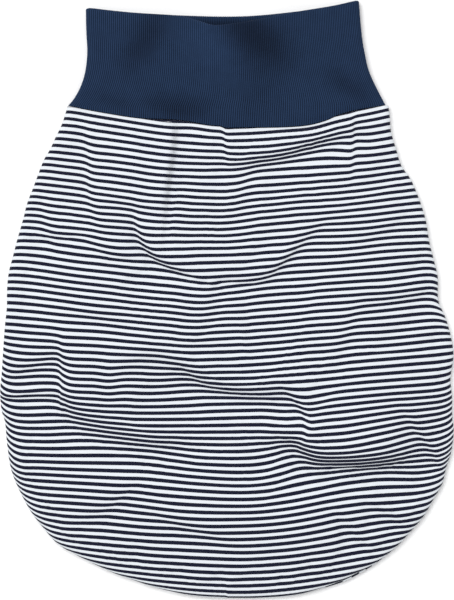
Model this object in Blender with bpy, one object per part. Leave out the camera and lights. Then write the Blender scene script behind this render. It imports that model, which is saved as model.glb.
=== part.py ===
"""Baby sleeping bag: a round-footed jersey bag on a deep ribbed waistband, lying on its back.

The bag is a striped shell over a plain lining. Each has a front and a back panel, joined by an
overlocked seam round the sides and the foot. The waistband is a front and a back piece of rib
knit, each folded double at the mouth, joined at the sides and sewn to the bag at the waist. The
front of the waistband lifts to open the mouth.

+Y points from the foot to the mouth and +Z up. The origin is on the floor, under the middle of
the outline. Lengths are in metres.
"""

import math

import bmesh
import bpy
from mathutils import Matrix, Vector

# Driving dimensions of the outline, seen from above.
TOTAL_LENGTH = 0.477  # foot to the mouth's corners
BAG_WIDTH = 0.363
FOOT_LENGTH = 0.171  # from the widest line to the foot
WAIST_WIDTH = 0.253
WAIST_SAG = 0.0175  # the waist seam dips by this in the middle
BAND_LENGTH = 0.082  # waist seam to mouth, at the side folds
MOUTH_WIDTH = 0.218
MOUTH_SAG = 0.0095  # the mouth's edge dips by this in the middle
FOOT_POWER = 2.25  # 2 would make the foot an ellipse
FLANK_POWER = 1.9  # how late the sides draw in towards the waist
FLARE_POWER = 4.0  # how late the waistband widens towards its seam

# Heights above the floor of the outer surface.
EDGE_HEIGHT = 0.005  # the side seams
SHOULDER_HEIGHT = 0.010  # the top of the rolled edge
WAIST_HEIGHT = 0.0150
BELLY_HEIGHT = 0.0185
MOUTH_LIFT = 0.0070  # how much higher the mouth's front edge arches than the waist
ROLL_WIDTH = 0.0055  # how far in the edge is rolled
CROWN_REACH = 0.070  # how far in from the edge the front is still rising
BELLY_DISTANCE = 0.150  # from the waist seam down to full height

# Cloth, and the space that the layers keep.
JERSEY = 0.0010
LINING = 0.0010
RIB = 0.0011
LAYER_GAP = 0.0016  # between shell and lining, and between the waistband's plies
SEW_GAP = 0.0004  # between pieces that are sewn at the waist
RIM_GAP = 0.0006  # between front and back pieces, edge to edge at the sides
LINING_EASE = 0.012  # how much smaller the lining is cut, at the edge
PLY_EASE = 0.008  # the same for the waistband's inner ply

# Overlocked seam allowances.
SEAM_WIDTH = 0.004
SEAM_THICKNESS = 0.0008
SEAM_INSET = 0.0019  # from a panel's edge to its seam allowance
BAND_SEAM_INSET = 0.0022  # the same on the waistband, whose cloth is thicker

# Care label, sewn into the lining's left seam and lying on the lining.
LABEL_LENGTH = 0.032
LABEL_WIDTH = 0.024
LABEL_THICKNESS = 0.0005
LABEL_POSITION = -0.0675  # along Y, where the side runs straight
LABEL_ROOT = 0.0022  # from the lining's edge to the label's sewn end

# Mesh fineness.
FOOT_POINTS = 12  # on each half of the foot
FLANK_POINTS = 7
WAIST_POINTS = 16
ROLL_TURNS = (0, 9, 33, 60, 90)  # degrees round the rolled edge
INNER_RINGS = (0.016, 0.032, 0.052, 0.085)  # further in from the edge
BAND_ALONG = 8
FOLD_POINTS = 4

# Places that follow.
MOUTH_CORNER = TOTAL_LENGTH / 2
WAIST_CORNER = MOUTH_CORNER - BAND_LENGTH
FOOT = -TOTAL_LENGTH / 2
WIDEST = FOOT + FOOT_LENGTH
HINGE = Vector((0.0, WAIST_CORNER - WAIST_SAG, WAIST_HEIGHT + RIM_GAP / 2))  # the lifting front's
MIDDLE = Vector((0.0, WIDEST))  # the point that a panel's rings close on

MATERIALS = {
    "striped_jersey": ((0.48, 0.50, 0.54), 0.90),
    "plain_jersey": ((0.90, 0.91, 0.92), 0.90),
    "navy_rib": ((0.018, 0.030, 0.062), 0.85),
    "white_thread": ((0.88, 0.88, 0.88), 0.70),
    "satin_label": ((0.93, 0.93, 0.92), 0.45),
}


def clear_scene():
    for obj in list(bpy.data.objects):
        bpy.data.objects.remove(obj, do_unlink=True)


def material(name):
    """The Principled material of that name, made once."""
    found = bpy.data.materials.get(name)
    if found:
        return found
    colour, roughness = MATERIALS[name]
    made = bpy.data.materials.new(name)
    made.use_nodes = True
    shader = made.node_tree.nodes["Principled BSDF"]
    shader.inputs["Base Color"].default_value = (*colour, 1.0)
    shader.inputs["Roughness"].default_value = roughness
    shader.inputs["Metallic"].default_value = 0.0
    return made


# Outline -----------------------------------------------------------------------------------


def half_width(y):
    """Half the outline's width at y, from the foot to the mouth."""
    if y <= WIDEST:
        down = min(1.0, (WIDEST - y) / FOOT_LENGTH)
        return BAG_WIDTH / 2 * (1 - down**FOOT_POWER) ** (1 / FOOT_POWER)
    if y <= WAIST_CORNER:
        up = (y - WIDEST) / (WAIST_CORNER - WIDEST)
        return BAG_WIDTH / 2 - (BAG_WIDTH - WAIST_WIDTH) / 2 * up**FLANK_POWER
    down = max(0.0, (MOUTH_CORNER - y) / BAND_LENGTH)
    return MOUTH_WIDTH / 2 + (WAIST_WIDTH - MOUTH_WIDTH) / 2 * down**FLARE_POWER


def waist_line(x):
    """y of the waist seam at x."""
    return WAIST_CORNER - WAIST_SAG * (1 - min(1.0, (2 * x / WAIST_WIDTH) ** 2))


def mouth_line(x):
    """y of the mouth's folded edge at x."""
    return MOUTH_CORNER - MOUTH_SAG * (1 - min(1.0, (2 * x / MOUTH_WIDTH) ** 2))


def right_side():
    """The right half of the bag's sewn edge, from the foot's middle up to the waist corner."""
    points = []
    for i in range(FOOT_POINTS):
        turn = math.pi / 2 * i / FOOT_POINTS
        across = math.sin(turn) ** (2 / FOOT_POWER)
        down = math.cos(turn) ** (2 / FOOT_POWER)
        points.append(Vector((BAG_WIDTH / 2 * across, WIDEST - FOOT_LENGTH * down)))
    for i in range(FLANK_POINTS + 1):
        y = WIDEST + (WAIST_CORNER - WIDEST) * i / FLANK_POINTS
        points.append(Vector((half_width(y), y)))
    return points


def sewn_edge():
    """The bag's sewn edge from the left waist corner round the foot to the right one."""
    right = right_side()
    left = [Vector((-p.x, p.y)) for p in reversed(right[1:])]
    return left + right


def inward(points, distance):
    """An open line moved to its left by distance. A line that goes round the foot moves inwards."""
    moved = []
    for i, point in enumerate(points):
        before = points[max(i - 1, 0)]
        after = points[min(i + 1, len(points) - 1)]
        along = (after - before).normalized()
        moved.append(point + Vector((-along.y, along.x)) * distance)
    return moved


def edge_distance(point, edge):
    """How far a point is from an open line."""
    best = 1.0
    for a, b in zip(edge, edge[1:]):
        span = b - a
        share = max(0.0, min(1.0, (point - a).dot(span) / span.length_squared))
        best = min(best, (point - a - span * share).length)
    return best


# Heights -----------------------------------------------------------------------------------


def ring_distances():
    """How far in from the edge the rings of a mesh lie: round the rolled edge, then further in."""
    rolled = [ROLL_WIDTH * (1 - math.cos(math.radians(turn))) for turn in ROLL_TURNS]
    return rolled + list(INNER_RINGS)


def roll(distance):
    """The rolled edge's profile: 0 at the edge, 1 where the roll ends, upright at the edge."""
    left = 1 - min(1.0, max(0.0, distance) / ROLL_WIDTH)
    return math.sqrt(1 - left * left)


def ease(share):
    """A smooth step from 0 to 1."""
    share = max(0.0, min(1.0, share))
    return share * share * (3 - 2 * share)


def crown(y, distance):
    """How much the front stands above its shoulder, that far in from the edge."""
    full = ease((waist_line(0) - y) / BELLY_DISTANCE)
    top = WAIST_HEIGHT + (BELLY_HEIGHT - WAIST_HEIGHT) * full
    return (top - SHOULDER_HEIGHT) * ease(distance / CROWN_REACH)


def mouth_arch(x, y):
    """How much the waistband's front arches at x, y on top of that."""
    up = max(0.0, (y - waist_line(x)) / (mouth_line(x) - waist_line(x)))
    across = max(0.0, 1 - abs(x) / half_width(y))
    return MOUTH_LIFT * min(1.0, up) ** 1.4 * ease(across)


def front_height(x, y, distance, depth=0.0, shoulder_inset=0.0):
    """Height of a front layer that lies depth below the outer surface.

    distance is how far in the point is from that layer's own edge, and shoulder_inset how far
    that edge is from the outline.
    """
    rise = (SHOULDER_HEIGHT - depth - EDGE_HEIGHT) * roll(distance)
    return EDGE_HEIGHT + RIM_GAP / 2 + rise + crown(y, distance + shoulder_inset)


def back_height(distance, depth=0.0):
    """Height of a back layer that lies depth above the floor, that far in from its own edge."""
    edge = EDGE_HEIGHT - RIM_GAP / 2
    return edge - (edge - depth) * roll(distance)


# Makers ------------------------------------------------------------------------------------


def add_object(name, mesh_maker, finish):
    """A named object whose mesh mesh_maker(bm) builds, shaded smooth."""
    mesh = bpy.data.meshes.new(name)
    bm = bmesh.new()
    mesh_maker(bm)
    bm.to_mesh(mesh)
    bm.free()
    mesh.shade_smooth()
    mesh.materials.append(material(finish))
    obj = bpy.data.objects.new(name, mesh)
    bpy.context.scene.collection.objects.link(obj)
    return obj


def thicken(obj, thickness, is_front):
    """Gives a one-layer mesh its thickness. Its faces point up, which is outwards on the front."""
    if not is_front:
        obj.data.flip_normals()
    cloth = obj.modifiers.new("cloth", "SOLIDIFY")
    cloth.thickness = thickness
    cloth.offset = -1
    return obj


def panel(name, ease_in, depth, thickness, is_front, finish):
    """A bag panel: rings from its outline towards the middle, at its layer's height, then thickened."""
    edge = inward(sewn_edge(), ease_in)
    corner = edge[-1]
    top = []
    for i in range(1, WAIST_POINTS):
        x = corner.x * (1 - 2 * i / WAIST_POINTS)
        top.append(Vector((x, waist_line(x) - SEW_GAP)))
    edge[0].y = edge[-1].y = waist_line(corner.x) - SEW_GAP

    def height(point):
        distance = edge_distance(point, edge)
        if is_front:
            return front_height(point.x, point.y, distance, depth, ease_in)
        return back_height(distance, depth)

    def build(bm):
        rings = []
        for inset in ring_distances():
            ring = [p + (MIDDLE - p).normalized() * inset for p in edge + top]
            rings.append([bm.verts.new((p.x, p.y, height(p))) for p in ring])
        for outer, inner in zip(rings, rings[1:]):
            for i in range(len(outer)):
                bm.faces.new((outer[i - 1], outer[i], inner[i], inner[i - 1]))
        centre = bm.verts.new((MIDDLE.x, MIDDLE.y, height(MIDDLE)))
        for i in range(len(rings[-1])):
            bm.faces.new((rings[-1][i - 1], rings[-1][i], centre))

    return thicken(add_object(name, build, finish), thickness, is_front)


def band_half(name, is_front):
    """Half of the waistband: an outer ply from the waist up, a fold at the mouth, an inner ply down."""
    depth = 2 * RIB + LAYER_GAP
    insets = ring_distances()
    columns = [(-1, d) for d in insets] + [(0, 0.0)] + [(1, d) for d in reversed(insets)]

    def ply_point(column, up, inner):
        """A point of the outer ply (inner 0) or inner ply (1), up from the waist to the mouth."""
        side, inset = column
        x = 0.0
        y = 0.0
        reach = 0.0
        for _ in range(4):  # x and y each depend on the other
            low = waist_line(x) + SEW_GAP
            high = mouth_line(x) - depth / 2
            y = low + (high - low) * up
            reach = half_width(y) - inner * PLY_EASE
            x = side * (reach - inset)
        distance = reach - abs(x)
        if is_front:
            z = front_height(x, y, distance, inner * depth, inner * PLY_EASE)
            z += mouth_arch(x, y)
        else:
            z = back_height(distance, inner * depth)
        return Vector((x, y, z))

    def build(bm):
        rows = []
        for i in range(BAND_ALONG + 1):
            rows.append([ply_point(c, i / BAND_ALONG, 0) for c in columns])
        for i in range(1, FOLD_POINTS):
            turn = math.pi * i / FOLD_POINTS
            row = []
            for column in columns:
                outer = ply_point(column, 1, 0)
                inner = ply_point(column, 1, 1)
                half = (outer - inner) / 2
                forward = Vector((0, depth / 2 * math.sin(turn), 0))
                row.append(inner + half + half * math.cos(turn) + forward)
            rows.append(row)
        for i in range(BAND_ALONG + 1):
            rows.append([ply_point(c, 1 - i / BAND_ALONG, 1) for c in columns])
        loops = [[bm.verts.new(p) for p in row] for row in rows]
        for low, high in zip(loops, loops[1:]):
            for i in range(len(columns) - 1):
                bm.faces.new((low[i], low[i + 1], high[i + 1], high[i]))

    return thicken(add_object(name, build, "navy_rib"), RIB, is_front)


def strip(name, centre_line, sideways, thickness_up, finish):
    """A closed flat strip along a line of 3D points, with its sides at the sideways vectors."""

    def build(bm):
        rings = []
        for point, side in zip(centre_line, sideways):
            up = Vector((0, 0, thickness_up / 2))
            corners = (point - side - up, point + side - up, point + side + up, point - side + up)
            rings.append([bm.verts.new(c) for c in corners])
        for low, high in zip(rings, rings[1:]):
            for i in range(4):
                j = (i + 1) % 4
                bm.faces.new((low[i], low[j], high[j], high[i]))
        bm.faces.new(rings[0])
        bm.faces.new(rings[-1])
        bmesh.ops.recalc_face_normals(bm, faces=bm.faces)

    return add_object(name, build, finish)


def allowance(name, edge, first):
    """An overlocked seam allowance along an edge of the outline, its outer side first in from it."""
    outer = inward(edge, first)
    inner = inward(edge, first + SEAM_WIDTH)
    line = [Vector((*((a + b) / 2), EDGE_HEIGHT)) for a, b in zip(outer, inner)]
    sides = [Vector((*((b - a) / 2), 0.0)) for a, b in zip(outer, inner)]
    return strip(name, line, sides, SEAM_THICKNESS, "white_thread")


def side_seam(name, first):
    """The allowance round the bag's sides and foot, which stops short of the waist seam."""
    stop = WAIST_CORNER - SEAM_INSET - SEAM_WIDTH
    return allowance(name, [p for p in sewn_edge() if p.y < stop], first)


def waist_seam(name, is_front):
    """An overlocked allowance that hangs from the waist seam, between shell and lining."""
    half = WAIST_WIDTH / 2 - LINING_EASE - ROLL_WIDTH
    deep = JERSEY + LAYER_GAP / 2
    edge = sewn_edge()
    line = []
    for i in range(2 * WAIST_POINTS + 1):
        x = half * (i / WAIST_POINTS - 1)
        y = waist_line(x) - SEAM_INSET - SEAM_WIDTH / 2
        if is_front:
            z = front_height(x, y, edge_distance(Vector((x, y)), edge)) - deep
        else:
            z = deep
        line.append(Vector((x, y, z)))
    sides = [Vector((0, SEAM_WIDTH / 2, 0))] * len(line)
    return strip(name, line, sides, SEAM_THICKNESS, "white_thread")


def band_side_seam(name, side):
    """The allowance of the waistband's side seam, between the plies at the side fold."""
    low = WAIST_CORNER + BAND_SEAM_INSET
    high = MOUTH_CORNER - PLY_EASE
    line = []
    for i in range(BAND_ALONG + 1):
        y = low + (high - low) * i / BAND_ALONG
        x = side * (half_width(y) - BAND_SEAM_INSET - SEAM_WIDTH / 2)
        line.append(Vector((x, y, EDGE_HEIGHT)))
    sides = [Vector((SEAM_WIDTH / 2, 0, 0))] * len(line)
    return strip(name, line, sides, SEAM_THICKNESS, "white_thread")


def set_origin(obj, place):
    """Moves an object's origin to a place and leaves its shape where it is."""
    obj.data.transform(Matrix.Translation(-place))
    obj.location = place


def care_label():
    """A blank woven label that runs in from the lining's left seam and lies on the lining's back."""
    edge_x = -(half_width(LABEL_POSITION) - LINING_EASE)
    floor = JERSEY + LAYER_GAP + LINING + SEW_GAP + LABEL_THICKNESS / 2
    line = []
    for inset in (0.0, 0.0015, 0.0035, 0.0055, 0.0080, LABEL_LENGTH / 2, LABEL_LENGTH):
        drop = (EDGE_HEIGHT - floor) * ease(inset / ROLL_WIDTH)
        line.append(Vector((edge_x + LABEL_ROOT + inset, LABEL_POSITION, EDGE_HEIGHT - drop)))
    sides = [Vector((0, LABEL_WIDTH / 2, 0))] * len(line)
    return strip("care_label", line, sides, LABEL_THICKNESS, "satin_label")


def main():
    clear_scene()
    depth = JERSEY + LAYER_GAP
    panel("shell_back", 0.0, 0.0, JERSEY, False, "striped_jersey")
    panel("lining_back", LINING_EASE, depth, LINING, False, "plain_jersey")
    panel("lining_front", LINING_EASE, depth, LINING, True, "plain_jersey")
    panel("shell_front", 0.0, 0.0, JERSEY, True, "striped_jersey")
    band_half("waistband_back", False)
    band_front = band_half("waistband_front", True)
    set_origin(band_front, HINGE)
    side_seam("shell_side_seam", SEAM_INSET)
    side_seam("lining_side_seam", LINING_EASE - SEAM_INSET / 2 - SEAM_WIDTH)
    waist_seam("waist_seam_back", False)
    waist_seam("waist_seam_front", True)
    band_side_seam("waistband_side_seam_left", -1)
    band_side_seam("waistband_side_seam_right", 1)
    care_label()


main()
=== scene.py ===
# %% [markdown]
# # A baby's sleeping bag in Blender
#
# A soft jersey bag with a deep ribbed waistband lies on its back on a pale table and is seen from
# straight above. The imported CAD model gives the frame: where every piece is, and how the front of
# the waistband lifts. This lesson replaces each stiff CAD solid with cloth that lies in folds.
# Everything is in metres, the foot points to -Y and +Z is up.

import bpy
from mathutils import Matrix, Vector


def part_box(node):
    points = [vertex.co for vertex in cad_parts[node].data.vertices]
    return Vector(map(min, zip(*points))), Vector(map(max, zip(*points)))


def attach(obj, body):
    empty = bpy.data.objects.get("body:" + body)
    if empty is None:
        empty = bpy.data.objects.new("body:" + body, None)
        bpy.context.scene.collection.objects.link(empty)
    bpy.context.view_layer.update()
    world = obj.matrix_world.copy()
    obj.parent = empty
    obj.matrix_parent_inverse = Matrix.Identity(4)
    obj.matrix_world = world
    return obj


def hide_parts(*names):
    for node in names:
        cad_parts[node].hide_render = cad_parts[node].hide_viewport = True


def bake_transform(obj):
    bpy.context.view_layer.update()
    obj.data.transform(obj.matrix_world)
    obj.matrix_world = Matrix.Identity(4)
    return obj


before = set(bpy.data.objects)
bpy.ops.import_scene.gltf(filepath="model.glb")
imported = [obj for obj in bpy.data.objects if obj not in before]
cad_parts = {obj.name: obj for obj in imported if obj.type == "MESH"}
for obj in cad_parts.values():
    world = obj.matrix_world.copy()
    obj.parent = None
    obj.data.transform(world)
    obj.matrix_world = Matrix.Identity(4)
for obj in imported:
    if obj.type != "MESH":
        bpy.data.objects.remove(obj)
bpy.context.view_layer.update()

import math

import bpy
import numpy as np
from mathutils import Vector
from mathutils.geometry import delaunay_2d_cdt

MM = 0.001

# %% [markdown]
# ## Where the pieces are
#
# A sewing pattern is an outline plus a few lengths. These are the lengths that the CAD pieces were
# made with, so the cloth lands where the frame is. Only the jersey and the gap at the waist are a
# tenth of a millimetre thinner. The front panel's box is printed, to compare with the outline.

# %% Lengths of the pattern
shell_low, shell_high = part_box("shell_front")
print("front panel", round(2 * shell_high.x, 4), "wide, foot at", round(shell_low.y, 4))

WIDEST = -67.5 * MM
MIDDLE = np.array((0.0, WIDEST))

EDGE_HEIGHT = 5 * MM  # of the side seams above the table
SHOULDER_HEIGHT = 10 * MM
WAIST_HEIGHT = 15 * MM
BELLY_HEIGHT = 18.5 * MM
ROLL_WIDTH = 5.5 * MM  # how far in the edge is rolled
CROWN_REACH = 70 * MM  # how far in the front is still rising
BELLY_DISTANCE = 150 * MM
RIM_GAP = 0.6 * MM  # between the edges of front and back
SEW_GAP = 0.3 * MM
JERSEY = 0.9 * MM
LINING_DEPTH = 2.6 * MM  # the lining lies this far inside the shell
LINING_EASE = 12 * MM  # and is cut this much smaller all round
CELL = 2.1 * MM  # size of the mesh's triangles

# %% [markdown]
# ## Smooth lines through a few points
#
# The seam lines and the folds are drawn like a pattern maker's curves: a few points each, joined
# by a Catmull-Rom spline. It passes through every point, so a point can be read off the cloth and
# typed in. All points are in millimetres from the middle of the bag.


# %% The curve through points
def spline(points, steps=16):
    """A smooth line through points given in millimetres, as an array of places in metres."""
    p = np.array(points, float) * MM
    q = np.vstack([2 * p[0] - p[1], p, 2 * p[-1] - p[-2]])
    t = np.linspace(0, 1, steps, endpoint=False)[:, None]
    line = []
    for a, b, c, d in zip(q, q[1:], q[2:], q[3:]):
        bend = (2 * a - 5 * b + 4 * c - d) * t * t + (3 * b - a - 3 * c + d) * t**3
        line.append((2 * b + (c - a) * t + bend) / 2)
    return np.vstack([*line, p[-1:]])


def resampled(line, spacing):
    """The same line with its points evenly spaced, about spacing apart."""
    lengths = np.hypot(*np.diff(line, axis=0).T)
    along = np.concatenate([[0], np.cumsum(lengths)])
    at = np.linspace(0, along[-1], max(3, int(round(along[-1] / spacing))) + 1)
    return np.column_stack([np.interp(at, along, line[:, i]) for i in range(2)])


def ease(share):
    """A smooth step from 0 to 1."""
    share = np.clip(share, 0, 1)
    return share * share * (3 - 2 * share)


def bump(distance, reach):
    """1 at distance 0, falling off smoothly over reach."""
    return np.exp(-((distance / reach) ** 2))


# The waist seam, and the waistband's folded edge at the mouth, on its back and on its front.
WAIST_SEAM = spline([
    (-127.5, 155.2), (-98, 149.5), (-70, 145.2), (-44, 144), (-30, 142.4), (-14, 139.4),
    (-6, 138.9), (-1, 137.4), (10, 137.5), (44, 138), (64, 139.5), (78, 143), (90, 148),
    (105, 152), (127, 155.7),
])  # fmt: skip
MOUTH_BACK = spline([
    (-113, 234.1), (-78, 230.2), (-34, 227.9), (2, 227.2), (30, 228.4), (66, 232.4),
    (88, 236), (106, 240.4),
])  # fmt: skip
MOUTH_FRONT = spline([
    (-113, 234), (-78, 229.9), (-40, 227), (-24, 223.2), (-12, 219.6), (-3, 219.8), (12, 222),
    (30, 225), (50, 229.2), (66, 232), (88, 235.9), (106, 240.3),
])  # fmt: skip


def height_of(line, x):
    """y of a line that runs from left to right, at x."""
    return np.interp(x, line[:, 0], line[:, 1])


# %% [markdown]
# ## The bag's outline
#
# Sewn cloth is never quite the shape of its pattern: the right side of this bag is pulled in at
# two places and the foot is flatter on the left. So each side is a curve through its own points,
# from the waist corner down to the middle of the foot.

# %% The sewn edge
PEEK_AT = 98 * MM  # where the back shows a little past the front, to the right of the middle
PEEK_REACH = 20 * MM
PEEK_SIDEWAYS = 0.4  # how much of the bulge goes to the side, as a share of what goes to the foot
LEFT_SIDE = (
    (-127.5, 155), (-132, 141), (-138.4, 127.5), (-141.5, 120.5), (-147, 111), (-155, 90),
    (-160, 77), (-163, 65), (-168.2, 47), (-171.5, 34), (-174.6, 22), (-176, 8), (-176.2, -6),
    (-178, -24), (-180.3, -59), (-181.5, -72), (-180.6, -87), (-177.5, -98), (-175.8, -116),
    (-171.6, -139), (-158.6, -166.4), (-145.5, -184), (-135, -195.3), (-120.5, -204),
    (-92.5, -217.6), (-75, -223.9), (-57, -230), (-27, -236.6), (0, -238.4),
)  # fmt: skip
RIGHT_SIDE = (
    (129.3, 154.5), (130.3, 146), (131.2, 135), (135.2, 121), (139.5, 107.5), (147, 96.5),
    (154, 80), (159, 64), (162, 46), (166.2, 29), (168.6, 18), (169, 0), (174.2, -12.5),
    (178.4, -26), (181.2, -43), (179.4, -57), (178.7, -65), (180, -77), (180.2, -94),
    (181.4, -104), (179.4, -121), (175.4, -134), (172.2, -147), (164.8, -160), (157.2, -173),
    (146.2, -186), (134.6, -198.2), (118.4, -210.4), (104, -218.2), (91, -224.6),
    (74.5, -230.6), (54, -236.2), (28, -238.3), (0, -238.4),
)  # fmt: skip


def sewn_edge(extra=0.0):
    """The bag's edge from the left waist corner, round the foot, to the right waist corner.

    extra is how far the edge bulges out at the lower right, where the back shows a little.
    """
    line = np.vstack([spline(LEFT_SIDE), spline(RIGHT_SIDE[::-1])[1:]])
    x, y = line.T
    bulge = extra * bump(x - PEEK_AT, PEEK_REACH) * (y < WIDEST)
    line = line + np.column_stack([bulge * PEEK_SIDEWAYS, -bulge])
    line[[0, -1], 1] = height_of(WAIST_SEAM, line[[0, -1], 0])
    return resampled(line, CELL)


def inward(line, distance):
    """An open line that goes round the foot, moved inwards."""
    along = np.gradient(line, axis=0)
    along /= np.hypot(*along.T)[:, None]
    return line + np.column_stack([-along[:, 1], along[:, 0]]) * distance


def distance_to(line, x, y):
    """How far each point is from an open line."""
    best = np.full(x.shape, 1.0)
    for (ax, ay), (bx, by) in zip(line[:-1], line[1:]):
        sx, sy = bx - ax, by - ay
        share = np.clip(((x - ax) * sx + (y - ay) * sy) / (sx * sx + sy * sy), 0, 1)
        best = np.minimum(best, np.hypot(x - ax - sx * share, y - ay - sy * share))
    return best


# %% [markdown]
# ## How the cloth lies
#
# The bag's stripes run straight across the cloth, so on the bag they show how the cloth lies. Two
# things bend them. The whole front sags between the sides, which makes every row a shallow bow.
# And where the cloth is pushed together, some of its length goes into a fold, so the stripes come
# closer there. Each fold below is a line with the length of cloth that it takes up, and how high
# it stands. The cloth's own coordinate, its distance from the waist seam measured along the cloth,
# is then known everywhere, and the material paints the stripes on it.
#
# A cloth simulation could make folds too, but not these ones in these places, so they are laid one
# by one, and a short simulation of the top sheet only softens them later.

# %% Rows and folds
SPARE = 1.05  # the cloth is this much longer than the bag that it covers
WAIST_MIDDLE = 137 * MM
# Cloth distance from the waist; rise of the row at the left and right; where it is lowest; how
# round its bow is. Millimetres.
ROWS = np.array([
    (0, 26, 34, 10, 60),
    (45, 22, 22, 0, 40),
    (90, 18, 20, 0, 45),
    (140, 15, 17, -15, 40),
    (190, 12, 14, -15, 35),
    (230, 8, 10, 0, 40),
    (270, 8, 11, 5, 50),
    (320, 9, 18, 10, 50),
    (370, 12, 24, 10, 50),
    (410, 19, 24, 10, 50),
], float) * MM  # fmt: skip
# Cloth distance from the waist, and the extra length that small ripples have taken up by there.
RIPPLES = np.array([
    (0, 0), (60, 0), (100, 1.5), (150, 1.5), (200, 0.5), (230, 1.5), (265, 4), (300, 3.5),
    (340, 0.5), (375, -1.5), (395, -2.2), (415, -4),
]) * MM  # fmt: skip
# Cloth distance from the waist, and how far the rows turn up beside the side seam there.
LEFT_TURN = np.array([
    (0, -1), (120, -1), (180, 0), (230, 7), (300, 8), (340, 6), (375, 3), (410, 2),
]) * MM
RIGHT_TURN = np.array([
    (0, 0), (60, 0), (100, -1), (150, -4), (172, -5), (190, -1), (240, 5), (290, 8), (320, 4),
    (345, 1), (410, 1),
]) * MM
TURN_REACH = 4.5 * MM
BOW_REACH = 180 * MM  # how far from the middle a row has risen by its full amount

# The folds. Each has its line; the cloth that it takes; how wide its step is; how far it reaches;
# how high it stands; the shares of its length over which each end fades; and the share of the
# taken cloth that shifts what lies below it.
FOLDS = (
    ("under the waist on the right", [(-34, 112), (6, 109), (36, 113), (66, 122), (99, 135)],
     7, 5, 16, 3, (0.6, 0.12), 0.9),
    ("left crease", [(-73, 76), (-72, 64), (-68, 50), (-58, 36), (-42, 26), (-14, 14)],
     6, 2.5, 18, 2.5, (0.4, 0.5), 0.5),
    ("left, upper", [(-90, 78), (-66, 74)], 2.5, 4, 12, 1, (0.4, 0.4), 0.5),
    ("left flank", [(-143, 51), (-119, 51)], 2.5, 3, 12, 1, (0.3, 0.4), 0.5),
    ("left, inner", [(-112, 50), (-100, 40), (-87, 35), (-66, 30)], 2.5, 4, 14, 1, (0.4, 0.4), 0.5),
    ("right of the middle", [(-10, 18), (10, 16), (28, 18), (44, 30), (62, 48), (78, 62), (98, 68)],
     4, 4.5, 20, 2, (0.3, 0.4), 0.5),
    ("right, rising", [(98, 40), (118, 52), (138, 66)], 1.5, 6, 20, 1, (0.4, 0.4), 0.5),
    ("right flank", [(102, -2), (126, 0), (150, 4), (170, 9)], 3, 5, 18, 1.5, (0.4, 0), 0.5),
    ("left, middle", [(-119, -11), (-87, -17)], 2.5, 4, 14, 1, (0.4, 0.4), 0.5),
    ("middle", [(-34, -33), (-10, -35)], 2, 4, 14, 0.6, (0.4, 0.4), 0.5),
    ("across the middle",
     [(-92, -62), (-76, -50), (-57, -46), (-40, -51), (-26, -60), (-12, -68), (6, -73), (28, -75),
      (48, -75), (58, -82), (64, -93), (68, -106)], 6, 8, 24, 4, (0.2, 0.25), 0.9),
    ("left pocket, rising", [(-175, -62), (-154, -53), (-135, -42)], 3, 6, 18, 1.5, (0.1, 0.3), 0.6),
    ("left pocket", [(-178, -78), (-158, -77), (-138, -77)], 3.5, 2.5, 12, 1.5, (0, 0.3), 0.6),
    ("left, lower", [(-134, -82), (-119, -92), (-102, -102), (-78, -110), (-54, -114), (-18, -113)],
     7, 9, 26, 3, (0.15, 0.4), 0.8),
    ("right pocket",
     [(20, -109), (46, -113), (60, -118), (70, -126), (94, -129), (121, -129), (140, -126),
      (156, -120)], 11, 6.5, 26, 5, (0.3, 0.25), 0.7),
    ("right edge, falling", [(142, -88), (153, -106), (164, -124), (174, -140)],
     3, 4, 16, 1.5, (0.3, 0.1), 0.5),
    ("foot, left", [(-119, -176), (-95, -165), (-74, -146)], 2, 5, 18, 1, (0.3, 0.3), 0.5),
    ("foot, middle", [(-62, -170), (-39, -179), (-12, -188), (4, -194)],
     2.5, 5, 18, 1, (0.3, 0.3), 0.5),
    ("foot, right", [(114, -164), (148, -186)], 2, 5, 16, 1, (0.3, 0.3), 0.5),
    ("foot, lower right", [(90, -176), (116, -200)], 1.5, 5, 16, 1, (0.3, 0.3), 0.5),
    ("kink above the left pocket", [(-136, -30), (-130, -56), (-129, -76), (-121, -92)],
     4.5, 5, 25, 1.5, (0.3, 0.3), 0.4),
    ("kink down from the waist, left", [(-114, 138), (-111, 112), (-110, 88), (-105, 64), (-97, 46)],
     2.6, 4, 18, 1.2, (0.2, 0.3), 0.3),
    ("left pocket's sharp edge", [(-133, -34), (-133, -56), (-133, -80)],
     1.6, 1.5, 9, 0.8, (0.3, 0.3), 0.5),
    ("sharp end of the middle fold", [(48, -74), (57, -86), (61, -96), (62, -104), (58, -114)],
     2.6, 1.8, 11, 0.8, (0.25, 0.3), 0.5),
    ("kink on the right, under the waist", [(100, 102), (101, 122), (101, 142)],
     2, 1.6, 10, 0.6, (0.3, 0.2), 0.5),
    ("pinch at the seam", [(-3, 139), (-2, 128), (-1, 117)], 1.8, 1.2, 7, 0.5, (0, 0.5), 0.5),
    ("soft edge down from the waist", [(-50, 52), (-47, 92), (-43, 118), (-41, 141)],
     0.4, 3.0, 13, 4.4, (0.5, 0.05), 0.5),
    ("kink in the left flank", [(-146, 72), (-144, 60), (-140, 48)], 2, 4, 15, 1, (0.3, 0.3), 0.5),
    ("kink down from the waist", [(-4, 132), (-1, 120), (2, 100)], 2, 6, 20, 0.8, (0.1, 0.4), 0.6),
    ("kink right of the middle", [(9, 76), (14, 92), (20, 104)], 3, 6, 20, 0.8, (0.3, 0.3), 0.6),
    ("kink in the middle", [(-22, -28), (-15, -12), (-10, 4), (-4, 16)],
     2.5, 6, 25, 0.8, (0.3, 0.3), 0.5),
    ("kink on the right", [(86, -48), (94, -28), (101, -12), (108, 4)],
     2, 6, 22, 0.8, (0.3, 0.3), 0.5),
)  # fmt: skip
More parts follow.
